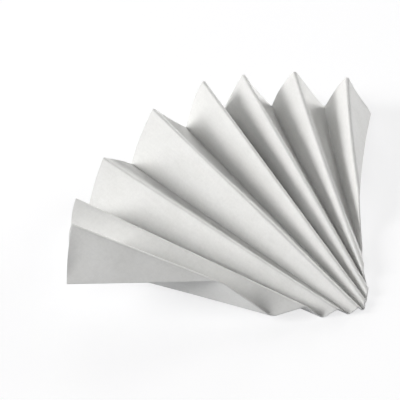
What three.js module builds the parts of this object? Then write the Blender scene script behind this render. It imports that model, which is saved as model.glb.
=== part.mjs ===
// Pleated filter paper: a round sheet of filter paper folded in half and then fan folded.
//
// The sheet is one solid. Folding it in half gives two layers, joined by a turn along the
// whole diameter, and open at the rim like a pocket. The double layer is then creased into
// sixteen facets. The creases are evenly spaced along the rim and run toward one fold
// centre that lies a little beyond the diameter, so they meet the diameter fold one after
// the other and leave a row of small tips there.
//
// Millimetres, Z up. The fan lies on the plane z = 0, opens toward +Y and rests on the
// undersides of its flat troughs. The origin is on that plane, under the middle of its
// overall length and width.

import * as THREE from 'three';

// Sheet
const circleRadius = 120;
const paperThickness = 0.2;
const layerGap = 0.2;

// Pleats. The crease radius is the inside one, where the double sheet bends.
const facetCount = 16;
const foldCentreOffset = 27;
const creaseRadius = 0.5;
const footHalfAngle = 20;

// Horizontal angles between one trough and the next, in degrees, from the -X end
const firstSpread = 13;
const secondSpread = 13;
const thirdSpread = 11.5;
const fourthSpread = 6;
const fifthSpread = 8;
const sixthSpread = 8.5;
const fanTurn = 3.5;

// The two end pleats stand free: their troughs rise from the plane, and the facets beside
// the end crests are set by their slope, in degrees
const firstTroughRise = 4;
const lastTroughRise = 0.5;
const firstInnerSlope = 86;
const firstOuterSlope = 40;
const lastInnerSlope = 71;
const lastOuterSlope = 62;

// The last pleats are pushed toward the fan at their tips. At the rim the facets that face
// the -X end bulge outward a little, and those that face the +X end bulge inward.
const tipPush = 5.5;
const outwardBulge = 0.4;
const inwardBulge = 0.3;

// Smoothness of the mesh
const columnsPerFacet = 2;
const rowsPerLayer = 5;
const turnSteps = 4;

const degree = Math.PI / 180;
const up = new THREE.Vector3(0, 0, 1);
const halfSheet = layerGap / 2 + paperThickness;
const middleRadius = creaseRadius + halfSheet;

function scaled(v, s) {
  return v.clone().multiplyScalar(s);
}

function sum(...vs) {
  const r = new THREE.Vector3();
  vs.forEach((v) => r.add(v));
  return r;
}

function crossed(a, b) {
  return new THREE.Vector3().crossVectors(a, b);
}

function turned(v, axis, angle) {
  return v.clone().applyAxisAngle(axis, angle);
}

// Flat pattern of one layer, a half disc with the diameter on y = 0. Angles are taken at
// the fold centre, which sits at y = -foldCentreOffset.
const rimAngle = Array.from({ length: facetCount + 1 }, (_, k) => (k * Math.PI) / facetCount);
const foldAngle = rimAngle.map((a) => {
  return Math.atan2(circleRadius * Math.sin(a) + foldCentreOffset, circleRadius * Math.cos(a));
});
const facetAngle = foldAngle.slice(1).map((a, k) => a - foldAngle[k]);

// Direction of every crease in space, as unit vectors from the fold centre
function troughDirections() {
  const spreads = [firstSpread, secondSpread, thirdSpread, fourthSpread, fifthSpread, sixthSpread];
  const toMiddle = firstSpread + secondSpread + thirdSpread;
  const rises = [firstTroughRise, 0, 0, 0, 0, 0, lastTroughRise];
  let heading = 90 - fanTurn + toMiddle;
  return rises.map((rise, i) => {
    if (i > 0) heading -= spreads[i - 1];
    const flat = Math.cos(rise * degree);
    return new THREE.Vector3(
      flat * Math.cos(heading * degree),
      flat * Math.sin(heading * degree),
      Math.sin(rise * degree),
    );
  });
}

// Crest between two troughs: the upper of the two directions at the given angles from them
function crestDirection(a, b, fromA, fromB) {
  const c = a.dot(b);
  const wa = (Math.cos(fromA) - c * Math.cos(fromB)) / (1 - c * c);
  const wb = (Math.cos(fromB) - c * Math.cos(fromA)) / (1 - c * c);
  const base = sum(scaled(a, wa), scaled(b, wb));
  const normal = crossed(b, a).normalize();
  const height = Math.sqrt(Math.max(0, 1 - base.lengthSq()));
  return sum(base, scaled(normal, height));
}

// Direction reached from a crease by crossing one facet that slopes at the given angle,
// toward the side given as +1 (the -X end) or -1 (the +X end)
function hingedDirection(from, angle, slope, side) {
  const level = scaled(crossed(up, from).normalize(), side);
  const steep = side > 0 ? crossed(from, level) : crossed(level, from);
  const across = sum(scaled(level, Math.cos(slope)), scaled(steep, Math.sin(slope)));
  return sum(scaled(from, Math.cos(angle)), scaled(across, Math.sin(angle)));
}

function creaseDirections() {
  const troughs = troughDirections();
  const u = new Array(facetCount + 1);
  troughs.forEach((t, i) => {
    u[2 * i + 2] = t;
  });
  for (let k = 3; k < facetCount - 1; k += 2) {
    u[k] = crestDirection(u[k - 1], u[k + 1], facetAngle[k - 1], facetAngle[k]);
  }
  const last = facetCount;
  u[1] = hingedDirection(u[2], facetAngle[1], firstInnerSlope * degree, 1);
  u[last - 1] = hingedDirection(u[last - 2], facetAngle[last - 2], lastInnerSlope * degree, -1);
  u[0] = hingedDirection(u[1], facetAngle[0], -firstOuterSlope * degree, 1);
  u[last] = hingedDirection(u[last - 1], facetAngle[last - 1], -lastOuterSlope * degree, -1);
  return u;
}

const crease = creaseDirections();
const facetNormal = facetAngle.map((_, k) => crossed(crease[k + 1], crease[k]).normalize());

// A point of the flat pattern, carried onto facet k
function onFacet(k, x, y) {
  const r = Math.hypot(x, y + foldCentreOffset);
  const a = Math.atan2(y + foldCentreOffset, x) - foldAngle[k];
  const across = crossed(crease[k], facetNormal[k]);
  return sum(scaled(crease[k], r * Math.cos(a)), scaled(across, r * Math.sin(a)));
}

// Where a line parallel to crease k, the given distance beside it, meets the diameter and
// the rim: distances along the crease from the fold centre
function reach(k, beside) {
  const c = Math.cos(foldAngle[k]);
  const s = Math.sin(foldAngle[k]);
  const atDiameter = (foldCentreOffset - beside * c) / s;
  const x0 = -beside * s;
  const y0 = beside * c - foldCentreOffset;
  const along = x0 * c + y0 * s;
  const atRim = -along + Math.sqrt(along * along - x0 * x0 - y0 * y0 + circleRadius * circleRadius);
  return [atDiameter, atRim];
}

function flatPoint(k, s, beside) {
  const c = Math.cos(foldAngle[k]);
  const d = Math.sin(foldAngle[k]);
  return [s * c - beside * d, s * d + beside * c - foldCentreOffset];
}

// Rounded crease k: four columns across the bend, the middle two with a level face between
// them. Each column gives a point at share t of the way from the diameter to the rim, at
// height h from the middle of the double layer, and the outward direction at the diameter.
function creaseColumns(k) {
  const u = crease[k];
  const before = facetNormal[k - 1];
  const after = facetNormal[k];
  const isCrest = k % 2 === 1;
  const bend = before.angleTo(after);
  const side = middleRadius * Math.tan(bend / 2);
  const toCentre = scaled(sum(before, after), middleRadius / (1 + before.dot(after)));
  const centre = isCrest ? scaled(toCentre, -1) : toCentre;
  const lift = crossed(u, crossed(up, u)).normalize();
  const sign = isCrest ? 1 : -1;
  const foot = sign * footHalfAngle * degree;
  const faces = [before, turned(lift, u, -foot), turned(lift, u, foot), after];
  return faces.map((m, i) => {
    const beside = side * (-1 + (2 * i) / 3);
    const [atDiameter, atRim] = reach(k, beside);
    const tangent = crossed(u, m);
    return {
      fold: k,
      ends: [flatPoint(k, atDiameter, beside), flatPoint(k, atRim, beside)],
      point(t, h) {
        const s = THREE.MathUtils.lerp(atDiameter, atRim, t);
        return sum(scaled(u, s), centre, scaled(m, sign * middleRadius + h));
      },
      outward: sum(scaled(u, -Math.sin(foldAngle[k])), scaled(tangent, -Math.cos(foldAngle[k]))),
    };
  });
}

// Height of the underside of a flat trough above the fold centre
function undersideOf(columns) {
  return columns[1].point(0.5, -halfSheet).z;
}

// The free ends of the sheet: the corner between the diameter and the rim, with a short
// straight edge in place of the first degree and a half of the arc
function endColumn(k, atStart) {
  const a = 1.5 * degree;
  const x = circleRadius * (atStart ? 1 : -1);
  const ends = [[x, 0], [x * Math.cos(a), circleRadius * Math.sin(a)]];
  return facetColumn(k, ends, atStart ? 0 : facetCount, 0);
}

function facetColumn(k, ends, fold, bulge) {
  const normal = facetNormal[k];
  const down = sum(onFacet(k, 0, -1), scaled(onFacet(k, 0, 0), -1));
  return {
    fold,
    ends,
    point(t, h) {
      const x = THREE.MathUtils.lerp(ends[0][0], ends[1][0], t);
      const y = THREE.MathUtils.lerp(ends[0][1], ends[1][1], t);
      return sum(onFacet(k, x, y), scaled(normal, h + bulge * t * t));
    },
    outward: down,
  };
}

function betweenColumns(k, left, right) {
  const leftRim = Math.atan2(left.ends[1][1], left.ends[1][0]);
  const rightRim = Math.atan2(right.ends[1][1], right.ends[1][0]);
  return Array.from({ length: columnsPerFacet }, (_, i) => {
    const s = (i + 1) / (columnsPerFacet + 1);
    const a = THREE.MathUtils.lerp(leftRim, rightRim, s);
    const x = THREE.MathUtils.lerp(left.ends[0][0], right.ends[0][0], s);
    const ends = [[x, 0], [circleRadius * Math.cos(a), circleRadius * Math.sin(a)]];
    const bulge = (k % 2 === 0 ? outwardBulge : -inwardBulge) * Math.sin(Math.PI * s);
    return facetColumn(k, ends, left.fold + (right.fold - left.fold) * s, bulge);
  });
}

// All columns from one free end to the other. Every crease is moved up or down by a small
// amount that puts the undersides of the flat troughs on the plane z = 0.
function sheetColumns() {
  const creases = [];
  for (let k = 1; k < facetCount; k += 1) creases[k] = creaseColumns(k);
  const settle = new Array(facetCount + 1).fill(0);
  for (let k = 4; k <= facetCount - 4; k += 2) settle[k] = -undersideOf(creases[k]);
  for (let k = 5; k < facetCount - 4; k += 2) settle[k] = (settle[k - 1] + settle[k + 1]) / 2;
  for (let k = 0; k < 4; k += 1) {
    settle[k] = settle[4];
    settle[facetCount - k] = settle[facetCount - 4];
  }
  const columns = [];
  let left = endColumn(0, true);
  columns.push(left);
  for (let k = 0; k < facetCount; k += 1) {
    const isLast = k === facetCount - 1;
    const next = isLast ? [endColumn(k, false)] : creases[k + 1];
    columns.push(...betweenColumns(k, left, next[0]), ...next);
    left = next[next.length - 1];
  }
  columns.forEach((c) => {
    const k = Math.min(Math.floor(c.fold), facetCount - 1);
    c.settle = THREE.MathUtils.lerp(settle[k], settle[k + 1], c.fold - k);
  });
  return columns;
}

// Sideways push of the last pleats, full near the fold centre and nothing at the rim
const tuckDirection = crossed(up, crease[facetCount - 2]).normalize();
function tuckAt(column, t) {
  const [near, far] = column.ends;
  const x = THREE.MathUtils.lerp(near[0], far[0], t);
  const y = THREE.MathUtils.lerp(near[1], far[1], t);
  const share = THREE.MathUtils.clamp((column.fold - facetCount + 5) / 4, 0, 1);
  const outward = Math.hypot(x, y + foldCentreOffset) / Math.hypot(far[0], far[1] + foldCentreOffset);
  return scaled(tuckDirection, tipPush * share * (1 - outward ** 3));
}

function placed(column, t, h, out) {
  const p = sum(column.point(t, h), tuckAt(column, t), scaled(column.outward, out));
  p.z += column.settle;
  return p;
}

// One line of points along a column: up the first layer, round the turn and back down the
// second layer, at the given distance from the middle of the double layer
function columnLine(column, distance) {
  const line = [];
  for (let i = rowsPerLayer; i > 0; i -= 1) {
    line.push(placed(column, i / rowsPerLayer, distance, 0));
  }
  for (let i = 0; i <= turnSteps; i += 1) {
    const a = (i / turnSteps) * Math.PI;
    line.push(placed(column, 0, distance * Math.cos(a), distance * Math.sin(a)));
  }
  for (let i = 1; i <= rowsPerLayer; i += 1) {
    line.push(placed(column, i / rowsPerLayer, -distance, 0));
  }
  return line;
}

function sheetGeometry() {
  const columns = sheetColumns();
  const rows = 2 * rowsPerLayer + turnSteps + 1;
  const points = [];
  columns.forEach((c) => {
    columnLine(c, halfSheet).forEach((p) => points.push(p));
    columnLine(c, layerGap / 2).forEach((p) => points.push(p));
  });
  const outer = (j, i) => j * 2 * rows + i;
  const inner = (j, i) => j * 2 * rows + rows + i;
  const index = [];
  const quad = (a, b, c, d) => index.push(a, b, c, a, c, d);
  for (let j = 0; j + 1 < columns.length; j += 1) {
    for (let i = 0; i + 1 < rows; i += 1) {
      quad(outer(j, i), outer(j, i + 1), outer(j + 1, i + 1), outer(j + 1, i));
      quad(inner(j, i), inner(j + 1, i), inner(j + 1, i + 1), inner(j, i + 1));
    }
    quad(outer(j, 0), outer(j + 1, 0), inner(j + 1, 0), inner(j, 0));
    quad(outer(j, rows - 1), inner(j, rows - 1), inner(j + 1, rows - 1), outer(j + 1, rows - 1));
  }
  const end = columns.length - 1;
  for (let i = 0; i + 1 < rows; i += 1) {
    quad(outer(0, i), inner(0, i), inner(0, i + 1), outer(0, i + 1));
    quad(outer(end, i), outer(end, i + 1), inner(end, i + 1), inner(end, i));
  }
  const geometry = new THREE.BufferGeometry();
  geometry.setFromPoints(points);
  geometry.setIndex(index);
  geometry.computeBoundingBox();
  const middle = geometry.boundingBox.getCenter(new THREE.Vector3());
  geometry.translate(-middle.x, -middle.y, 0);
  geometry.computeVertexNormals();
  return geometry;
}

const material = new THREE.MeshStandardMaterial({ color: 0xf4f4f1, roughness: 0.9, metalness: 0 });
material.name = 'paper_white';

const filterPaper = new THREE.Mesh(sheetGeometry(), material);
filterPaper.name = 'filter_paper';

const group = new THREE.Group();
group.name = 'pleated_filter_paper';
group.add(filterPaper);

export default group;
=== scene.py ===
# Pleated filter paper lying on a pale table: a fine mesh of the folded sheet, matt fibrous
# paper, and soft light from the left, the right and behind.
import math
import bpy
import numpy as np
from mathutils import Matrix, Vector


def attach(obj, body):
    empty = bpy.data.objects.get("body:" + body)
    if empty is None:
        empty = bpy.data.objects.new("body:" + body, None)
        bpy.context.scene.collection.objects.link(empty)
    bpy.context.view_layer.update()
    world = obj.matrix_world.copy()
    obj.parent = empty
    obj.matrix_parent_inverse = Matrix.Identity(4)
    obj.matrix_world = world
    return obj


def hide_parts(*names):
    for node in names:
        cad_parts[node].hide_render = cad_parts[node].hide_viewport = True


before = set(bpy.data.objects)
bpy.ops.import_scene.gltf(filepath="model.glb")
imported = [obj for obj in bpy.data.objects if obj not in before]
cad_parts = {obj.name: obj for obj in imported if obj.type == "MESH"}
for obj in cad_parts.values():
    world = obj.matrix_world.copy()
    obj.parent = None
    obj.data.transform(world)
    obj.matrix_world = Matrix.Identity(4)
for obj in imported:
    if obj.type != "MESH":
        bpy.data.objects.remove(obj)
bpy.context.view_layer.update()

# Sheet, in millimetres
RADIUS = 120.0
THICKNESS = 0.2
LAYER_GAP = 0.2

# Pleats, in millimetres and degrees, with the creases counted from 0 at the first free end.
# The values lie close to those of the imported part, with the small differences of one hand
# folded sheet. The last pleats are pushed toward the fan at their tips, and the troughs from
# FIRST_FLAT to LAST_FLAT lie on the table.
FACETS = 16
FOLD_CENTRE = 27.0
CREASE_RADIUS = 0.3
SPREADS = [12.8, 12.6, 11.3, 6.1, 7.9, 8.4]
FAN_TURN = 3.5
TROUGH_RISES = [4, 0, 0, 0.2, 0.5, 0.5, 0.6]
FIRST_INNER, FIRST_OUTER = 88, 35
LAST_INNER, LAST_OUTER = 68, 65
TIP_PUSH = 5.5
PUSH_START, PUSH_FULL = 11, 15
FIRST_FLAT, LAST_FLAT = 4, 12
OUTWARD_BULGE = 0.4
INWARD_BULGE = 0.3

# Facet widths at the rim, as shares of an even one: both end facets, and three in the middle
FIRST_WIDTH, MIDDLE_WIDTH, LAST_WIDTH = 0.93, 1.07, 0.88
MIDDLE_FACETS = [6, 7, 8]

# The rim end of the first trough is drawn in, and the middle tips reach past the diameter
FIRST_TROUGH = 2
FIRST_TROUGH_SHIFT = np.array([1.4, -2.6, -1.8])
TIP_REACH = 1.7
TIP_MIDDLE = 3
TIP_SPAN = 9

# Slow unevenness inside a facet. Long waves: turn per facet, turn along it, start, height.
# Cross wave: turn per facet, turn along it, height.
LONG_WAVES = [(1.7, 5.1, 0.6, 0.28), (2.9, 11.0, 1.3, 0.12)]
CROSS_WAVE = (4.3, 7.9, 0.14)

# Fineness of the mesh
COLUMNS_PER_FACET = 9
COLUMNS_PER_CREASE = 7
ROWS_PER_LAYER = 26
TURN_STEPS = 6
SHARP_EDGE = 50

HALF_SHEET = LAYER_GAP / 2 + THICKNESS
MIDDLE_RADIUS = CREASE_RADIUS + HALF_SHEET
FREE_CORNER = math.radians(1.5)
UP = np.array([0.0, 0.0, 1.0])


def unit(v):
    return v / np.linalg.norm(v)


def turned(v, axis, a):
    return v * math.cos(a) + np.cross(axis, v) * math.sin(a) + axis * (axis @ v) * (1 - math.cos(a))


def between(a, b, share):
    return a + (b - a) * share


# Angles of the creases in the flat sheet, at the circle's centre and at the fold centre
widths = np.zeros(FACETS)
widths[0], widths[-1] = FIRST_WIDTH, LAST_WIDTH
widths[MIDDLE_FACETS] = MIDDLE_WIDTH
widths[widths == 0] = (FACETS - widths.sum()) / np.sum(widths == 0)
rim_angle = np.concatenate([[0.0], np.cumsum(widths)]) * math.pi / FACETS
fold_angle = np.arctan2(RADIUS * np.sin(rim_angle) + FOLD_CENTRE, RADIUS * np.cos(rim_angle))
facet_angle = np.diff(fold_angle)


def trough_direction(i):
    heading = math.radians(90 - FAN_TURN + sum(SPREADS[:3]) - sum(SPREADS[:i]))
    rise = math.radians(TROUGH_RISES[i])
    flat = math.cos(rise)
    return np.array([flat * math.cos(heading), flat * math.sin(heading), math.sin(rise)])


def crest_direction(a, b, from_a, from_b):
    """The upper of the two directions at the given angles from two troughs."""
    c = a @ b
    share_a = (math.cos(from_a) - c * math.cos(from_b)) / (1 - c * c)
    share_b = (math.cos(from_b) - c * math.cos(from_a)) / (1 - c * c)
    base = share_a * a + share_b * b
    return base + unit(np.cross(b, a)) * math.sqrt(max(0, 1 - base @ base))


def hinged_direction(start, angle, slope, side):
    """The direction reached from a crease across one facet that slopes by the given angle."""
    level = unit(np.cross(UP, start)) * side
    steep = np.cross(start, level) if side > 0 else np.cross(level, start)
    s = math.radians(slope)
    across = level * math.cos(s) + steep * math.sin(s)
    return start * math.cos(angle) + across * math.sin(angle)


def crease_directions():
    u = [None] * (FACETS + 1)
    for i in range(len(TROUGH_RISES)):
        u[2 * i + 2] = trough_direction(i)
    for k in range(3, FACETS - 1, 2):
        u[k] = crest_direction(u[k - 1], u[k + 1], facet_angle[k - 1], facet_angle[k])
    n = FACETS
    u[1] = hinged_direction(u[2], facet_angle[1], FIRST_INNER, 1)
    u[0] = hinged_direction(u[1], facet_angle[0], -FIRST_OUTER, 1)
    u[n - 1] = hinged_direction(u[n - 2], facet_angle[n - 2], LAST_INNER, -1)
    u[n] = hinged_direction(u[n - 1], facet_angle[n - 1], -LAST_OUTER, -1)
    return u


crease = crease_directions()
normal = [unit(np.cross(crease[k + 1], crease[k])) for k in range(FACETS)]
push_direction = unit(np.cross(UP, crease[FACETS - 2]))


def on_facet(k, x, y):
    """A point of the flat sheet, carried onto facet k."""
    r = math.hypot(x, y + FOLD_CENTRE)
    a = math.atan2(y + FOLD_CENTRE, x) - fold_angle[k]
    across = np.cross(crease[k], normal[k])
    return crease[k] * (r * math.cos(a)) + across * (r * math.sin(a))


def tip_reach(x):
    """How far the half fold reaches past the diameter, at a place along it."""
    return TIP_REACH * math.exp(-((x - TIP_MIDDLE) / TIP_SPAN) ** 2)


def reach(k, beside):
    """Where a line beside crease k meets the half fold and the rim, from the fold centre."""
    c, s = math.cos(fold_angle[k]), math.sin(fold_angle[k])
    x0, y0 = -beside * s, beside * c - FOLD_CENTRE
    along = x0 * c + y0 * s
    near = (FOLD_CENTRE - tip_reach(FOLD_CENTRE * c / s) - beside * c) / s
    return near, -along + math.sqrt(along * along - x0 * x0 - y0 * y0 + RADIUS * RADIUS)


def flat_point(k, s, beside):
    c, d = math.cos(fold_angle[k]), math.sin(fold_angle[k])
    return s * c - beside * d, s * d + beside * c - FOLD_CENTRE


def crease_columns(k):
    """Columns across the round of crease k, each a line from the half fold to the rim."""
    u, before, after = crease[k], normal[k - 1], normal[k]
    sign = 1 if k % 2 == 1 else -1
    bend = math.acos(max(-1, min(1, before @ after)))
    side = MIDDLE_RADIUS * math.tan(bend / 2)
    centre = (before + after) * (MIDDLE_RADIUS / (1 + before @ after)) * -sign
    columns = []
    for i in range(COLUMNS_PER_CREASE):
        share = i / (COLUMNS_PER_CREASE - 1)
        m = after if share == 1 else unit(turned(before, u, share * bend * sign))
        beside = side * (2 * share - 1)
        near, far = reach(k, beside)

        def point(t, h, near=near, far=far, m=m):
            return u * between(near, far, t) + centre + m * (sign * MIDDLE_RADIUS + h)
        columns.append({
            "fold": float(k),
            "ends": (flat_point(k, near, beside), flat_point(k, far, beside)),
            "point": point,
            "outward": -u * math.sin(fold_angle[k]) - np.cross(u, m) * math.cos(fold_angle[k]),
        })
    return columns


def unevenness(k, s, t):
    """Height of the facet's slow waves, nothing at its creases."""
    if not 0 < s < 1:
        return 0.0
    long = sum(math.sin(a * k + b * t + c) * h for a, b, c, h in LONG_WAVES)
    a, b, h = CROSS_WAVE
    cross = math.sin(a * k + b * t) * h * math.sin(2 * math.pi * s)
    return (long * math.sin(math.pi * s) + cross) * min(1.0, 2.5 * t)


def facet_column(k, ends, fold, bulge, s):
    down = on_facet(k, 0, -1) - on_facet(k, 0, 0)

    def point(t, h):
        x, y = between(ends[0][0], ends[1][0], t), between(ends[0][1], ends[1][1], t)
        return on_facet(k, x, y) + normal[k] * (h + bulge * t * t + unevenness(k, s, t))
    return {"fold": fold, "ends": ends, "point": point, "outward": down}


def end_column(k, at_start):
    """The free end of the sheet, with a short straight edge in place of the rim's first arc."""
    x = RADIUS if at_start else -RADIUS
    ends = ((x, 0.0), (x * math.cos(FREE_CORNER), RADIUS * math.sin(FREE_CORNER)))
    return facet_column(k, ends, 0.0 if at_start else float(FACETS), 0.0, 0.0)


def between_columns(k, left, right):
    left_rim, right_rim = (math.atan2(c["ends"][1][1], c["ends"][1][0]) for c in (left, right))
    bulge = OUTWARD_BULGE if k % 2 == 0 else -INWARD_BULGE
    columns = []
    for i in range(COLUMNS_PER_FACET):
        s = (i + 1) / (COLUMNS_PER_FACET + 1)
        a = between(left_rim, right_rim, s)
        x = between(left["ends"][0][0], right["ends"][0][0], s)
        ends = ((x, -tip_reach(x)), (RADIUS * math.cos(a), RADIUS * math.sin(a)))
        fold = between(left["fold"], right["fold"], s)
        columns.append(facet_column(k, ends, fold, bulge * math.sin(math.pi * s), s))
    return columns


def sheet_columns():
    """All columns from one free end to the other, with the flat troughs set on z = 0."""
    creases = {k: crease_columns(k) for k in range(1, FACETS)}
    settle = [0.0] * (FACETS + 1)
    for k in range(FIRST_FLAT, LAST_FLAT + 1, 2):
        undersides = [c["point"](t, -HALF_SHEET)[2] for c in creases[k] for t in (0.0, 0.5, 1.0)]
        settle[k] = -min(undersides)
    for k in range(FIRST_FLAT + 1, LAST_FLAT, 2):
        settle[k] = (settle[k - 1] + settle[k + 1]) / 2
    settle[:FIRST_FLAT] = [settle[FIRST_FLAT]] * FIRST_FLAT
    settle[LAST_FLAT + 1:] = [settle[LAST_FLAT]] * (FACETS - LAST_FLAT)
    columns = [end_column(0, True)]
    left = columns[0]
    for k in range(FACETS):
        following = [end_column(k, False)] if k == FACETS - 1 else creases[k + 1]
        columns += between_columns(k, left, following[0]) + following
        left = following[-1]
    for c in columns:
        k = min(int(c["fold"]), FACETS - 1)
        c["settle"] = between(settle[k], settle[k + 1], c["fold"] - k)
    return columns


def tip_push_at(column, t):
    """Push of the last pleats toward the fan, full near the fold centre, nothing at the rim."""
    (x0, y0), (x1, y1) = column["ends"]
    x, y = between(x0, x1, t), between(y0, y1, t)
    share = (column["fold"] - PUSH_START) / (PUSH_FULL - PUSH_START)
    share = max(0.0, min(1.0, share))
    outward = math.hypot(x, y + FOLD_CENTRE) / math.hypot(x1, y1 + FOLD_CENTRE)
    return push_direction * (TIP_PUSH * share * (1 - outward ** 3))


def trough_shift_at(column, t):
    """The drawn-in rim end of the first trough, which the facets beside it follow."""
    share = max(0.0, 1 - abs(column["fold"] - FIRST_TROUGH))
    return FIRST_TROUGH_SHIFT * (share * share * (3 - 2 * share) * t ** 3)


def placed(column, t, h, out):
    p = column["point"](t, h) + tip_push_at(column, t) + trough_shift_at(column, t)
    p = p + column["outward"] * out
    p[2] += column["settle"]
    return p


def column_line(column, distance):
    """Up one layer, round the turn at the half fold and down the other layer."""
    n = ROWS_PER_LAYER
    line = [placed(column, i / n, distance, 0) for i in range(n, 0, -1)]
    for i in range(TURN_STEPS + 1):
        a = math.pi * i / TURN_STEPS
        line.append(placed(column, 0, distance * math.cos(a), distance * math.sin(a)))
    line += [placed(column, i / n, -distance, 0) for i in range(1, n + 1)]
    return line


def sheet_faces(column_count, rows):
    def outer(j, i):
        return j * 2 * rows + i

    def inner(j, i):
        return j * 2 * rows + rows + i

    faces = []
    for j in range(column_count - 1):
        for i in range(rows - 1):
            faces.append((outer(j, i), outer(j, i + 1), outer(j + 1, i + 1), outer(j + 1, i)))
            faces.append((inner(j, i), inner(j + 1, i), inner(j + 1, i + 1), inner(j, i + 1)))
        faces.append((outer(j, 0), outer(j + 1, 0), inner(j + 1, 0), inner(j, 0)))
        e = rows - 1
        faces.append((outer(j, e), inner(j, e), inner(j + 1, e), outer(j + 1, e)))
    j = column_count - 1
    for i in range(rows - 1):
        faces.append((outer(0, i), inner(0, i), inner(0, i + 1), outer(0, i + 1)))
        faces.append((outer(j, i), outer(j, i + 1), inner(j, i + 1), inner(j, i)))
    return faces


def sheet_mesh():
    """Points and faces in metres, and the middle of the sheet measured from the fold centre."""
    columns = sheet_columns()
    points = []
    for c in columns:
        points += column_line(c, HALF_SHEET) + column_line(c, LAYER_GAP / 2)
    points = np.array(points)
    middle = (points.min(0) + points.max(0)) / 2
    points[:, 0] -= middle[0]
    points[:, 1] -= middle[1]
    points[:, 2] = np.maximum(points[:, 2], 0.0)
    faces = sheet_faces(len(columns), 2 * ROWS_PER_LAYER + TURN_STEPS + 1)
    return points / 1000, faces, middle / 1000


def sheet_object(points, faces):
    mesh = bpy.data.meshes.new("filter_paper_sheet")
    mesh.from_pydata([tuple(p) for p in points], [], faces)
    mesh.validate()
    mesh.polygons.foreach_set("use_smooth", [True] * len(mesh.polygons))
    mesh.set_sharp_from_angle(angle=math.radians(SHARP_EDGE))
    mesh.update()
    mesh.materials.append(paper_material())
    sheet = bpy.data.objects.new("filter_paper_sheet", mesh)
    bpy.context.scene.collection.objects.link(sheet)
    return sheet


# Paper: white with faint clouds, and a grain of round fibres and two sets of stretched ones
CLOUD_SCALE = 90
FIBRE_SCALE = 1300
STRETCHED_SCALE = 900
STRETCH = 0.16
CLOUD_DARK = (0.865, 0.865, 0.85, 1)
CLOUD_LIGHT = (0.905, 0.905, 0.895, 1)
GRAIN_DARK = 0.945
GRAIN_BUMP = 0.25
GRAIN_DEPTH = 0.0003
PAPER_ROUGHNESS = 0.92
PAPER_SPECULAR = 0.15


def paper_material():
    material = bpy.data.materials.new("filter_paper_white")
    material.use_nodes = True
    nodes, links = material.node_tree.nodes, material.node_tree.links
    shader = nodes["Principled BSDF"]
    shader.inputs["Roughness"].default_value = PAPER_ROUGHNESS
    shader.inputs["Specular IOR Level"].default_value = PAPER_SPECULAR
    position = nodes.new("ShaderNodeTexCoord")

    def noise(scale, detail, roughness, stretch=(1, 1, 1)):
        place = nodes.new("ShaderNodeMapping")
        place.inputs["Scale"].default_value = stretch
        links.new(position.outputs["Object"], place.inputs["Vector"])
        texture = nodes.new("ShaderNodeTexNoise")
        texture.inputs["Scale"].default_value = scale
        texture.inputs["Detail"].default_value = detail
        texture.inputs["Roughness"].default_value = roughness
        links.new(place.outputs["Vector"], texture.inputs["Vector"])
        return texture.outputs["Fac"]

    def added(a, b):
        node = nodes.new("ShaderNodeMath")
        node.operation = "ADD"
        links.new(a, node.inputs[0])
        links.new(b, node.inputs[1])
        return node.outputs[0]

    def divided(a, number):
        node = nodes.new("ShaderNodeMath")
        node.operation = "DIVIDE"
        node.inputs[1].default_value = number
        links.new(a, node.inputs[0])
        return node.outputs[0]

    def coloured(value, low, low_colour, high, high_colour):
        ramp = nodes.new("ShaderNodeValToRGB")
        first, last = ramp.color_ramp.elements
        first.position, first.color = low, low_colour
        last.position, last.color = high, high_colour
        links.new(value, ramp.inputs["Fac"])
        return ramp.outputs["Color"]

    cloud = noise(CLOUD_SCALE, detail=3, roughness=0.5)
    fibre = noise(FIBRE_SCALE, detail=6, roughness=0.65)
    lengthwise = noise(STRETCHED_SCALE, detail=4, roughness=0.6, stretch=(STRETCH, 1, 1))
    crosswise = noise(STRETCHED_SCALE, detail=4, roughness=0.6, stretch=(1, STRETCH, 1))
    grain = divided(added(added(lengthwise, crosswise), fibre), 3)

    tint = nodes.new("ShaderNodeMix")
    tint.data_type = "RGBA"
    tint.blend_type = "MULTIPLY"
    tint.inputs["Factor"].default_value = 1.0
    dark = (GRAIN_DARK, GRAIN_DARK, GRAIN_DARK, 1)
    links.new(coloured(cloud, 0.3, CLOUD_DARK, 0.7, CLOUD_LIGHT), tint.inputs[6])
    links.new(coloured(grain, 0.4, dark, 0.6, (1, 1, 1, 1)), tint.inputs[7])
    links.new(tint.outputs[2], shader.inputs["Base Color"])

    bump = nodes.new("ShaderNodeBump")
    bump.inputs["Strength"].default_value = GRAIN_BUMP
    bump.inputs["Distance"].default_value = GRAIN_DEPTH
    links.new(grain, bump.inputs["Height"])
    links.new(bump.outputs["Normal"], shader.inputs["Normal"])
    return material


points, faces, middle = sheet_mesh()
sheet = sheet_object(points, faces)
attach(sheet, "root")
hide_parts("filter_paper")

# Table: the paper is lit by it as by a plain pale one. The camera sees a darker colour with a
# glow on top, so that the background is white and its shadows are faint.
TABLE_HALF = 3.0
TABLE_DROP = 0.0001
FLOOR_GLOW = 0.73
TABLE_COLOUR = (0.8, 0.81, 0.83, 1)
SEEN_COLOUR = (0.36, 0.36, 0.3645, 1)
GLOW_COLOUR = (0.99, 0.99, 0.995, 1)


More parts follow.
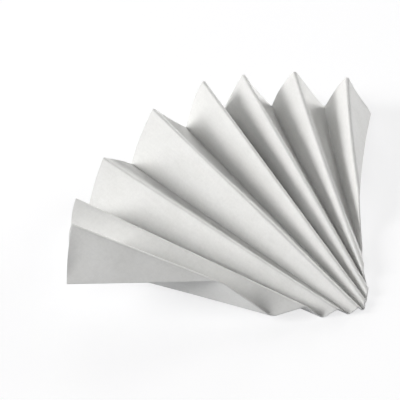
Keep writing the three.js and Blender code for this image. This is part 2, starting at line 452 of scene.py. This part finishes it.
def table_material():
    material = bpy.data.materials.new("table_white")
    material.use_nodes = True
    nodes, links = material.node_tree.nodes, material.node_tree.links
    nodes.clear()
    output = nodes.new("ShaderNodeOutputMaterial")
    plain = nodes.new("ShaderNodeBsdfDiffuse")
    plain.inputs["Color"].default_value = TABLE_COLOUR
    seen = nodes.new("ShaderNodeBsdfDiffuse")
    seen.inputs["Color"].default_value = SEEN_COLOUR
    glow = nodes.new("ShaderNodeEmission")
    glow.inputs["Color"].default_value = GLOW_COLOUR
    glow.inputs["Strength"].default_value = FLOOR_GLOW
    bright = nodes.new("ShaderNodeAddShader")
    links.new(seen.outputs[0], bright.inputs[0])
    links.new(glow.outputs[0], bright.inputs[1])
    path = nodes.new("ShaderNodeLightPath")
    choice = nodes.new("ShaderNodeMixShader")
    links.new(path.outputs["Is Camera Ray"], choice.inputs[0])
    links.new(plain.outputs[0], choice.inputs[1])
    links.new(bright.outputs[0], choice.inputs[2])
    links.new(choice.outputs[0], output.inputs["Surface"])
    return material


def table_object():
    h = TABLE_HALF
    mesh = bpy.data.meshes.new("table_top")
    mesh.from_pydata([(-h, -h, 0), (h, -h, 0), (h, h, 0), (-h, h, 0)], [], [(0, 1, 2, 3)])
    mesh.materials.append(table_material())
    table = bpy.data.objects.new("table_top", mesh)
    table.location = (0, 0, -TABLE_DROP)
    bpy.context.scene.collection.objects.link(table)
    return table


floor = table_object()

# Camera: where the photograph was taken from, in metres from the fold centre, with the
# directions of the picture's right and upper side
EYE = Vector((-260.84, -318.34, 485.68)) / 1000
RIGHT = Vector((0.81024, -0.57873, -0.09266))
UPWARD = Vector((0.46212, 0.53356, 0.70835))
SENSOR = 36
LENS = 162
NEAREST, FARTHEST = 0.01, 20


def add_camera():
    data = bpy.data.cameras.new("camera")
    data.sensor_width = SENSOR
    data.lens = LENS
    data.clip_start = NEAREST
    data.clip_end = FARTHEST
    camera = bpy.data.objects.new("camera", data)
    right = RIGHT.normalized()
    upward = (UPWARD - right * UPWARD.dot(right)).normalized()
    turn = Matrix((right, upward, right.cross(upward))).transposed().to_4x4()
    place = EYE - Vector((middle[0], middle[1], 0))
    camera.matrix_world = Matrix.Translation(place) @ turn
    bpy.context.scene.collection.objects.link(camera)
    bpy.context.scene.camera = camera


add_camera()

# Light: five soft lamps and a faint surround. Each lamp has its name, its azimuth and
# elevation in degrees, and its power in watts.
LAMPS = [
    ("right", 0, 12, 17.0),
    ("key", 150, 32, 17.0),
    ("back", 60, 12, 9.0),
    ("left", 150, 12, 4.8),
    ("front", 210, 55, 3.3),
]
LAMP_DISTANCE = 1.6
LAMP_SIZE = 0.6
LAMP_COLOUR = (1.0, 0.995, 0.985)
SURROUND_COLOUR = (0.97, 0.98, 1.0, 1)
SURROUND_STRENGTH = 0.065


def add_lamp(name, azimuth, elevation, power):
    data = bpy.data.lights.new(name, "AREA")
    data.shape = "SQUARE"
    data.size = LAMP_SIZE
    data.energy = power
    data.color = LAMP_COLOUR
    lamp = bpy.data.objects.new(name, data)
    a, e = math.radians(azimuth), math.radians(elevation)
    v = Vector((math.cos(a) * math.cos(e), math.sin(a) * math.cos(e), math.sin(e)))
    lamp.location = v * LAMP_DISTANCE
    lamp.rotation_mode = "QUATERNION"
    lamp.rotation_quaternion = v.to_track_quat("Z", "Y")
    bpy.context.scene.collection.objects.link(lamp)


for lamp in LAMPS:
    add_lamp(*lamp)
world = bpy.data.worlds.new("surround")
world.use_nodes = True
background = world.node_tree.nodes["Background"]
background.inputs["Color"].default_value = SURROUND_COLOUR
background.inputs["Strength"].default_value = SURROUND_STRENGTH
bpy.context.scene.world = world
bpy.context.scene.view_settings.view_transform = "Standard"
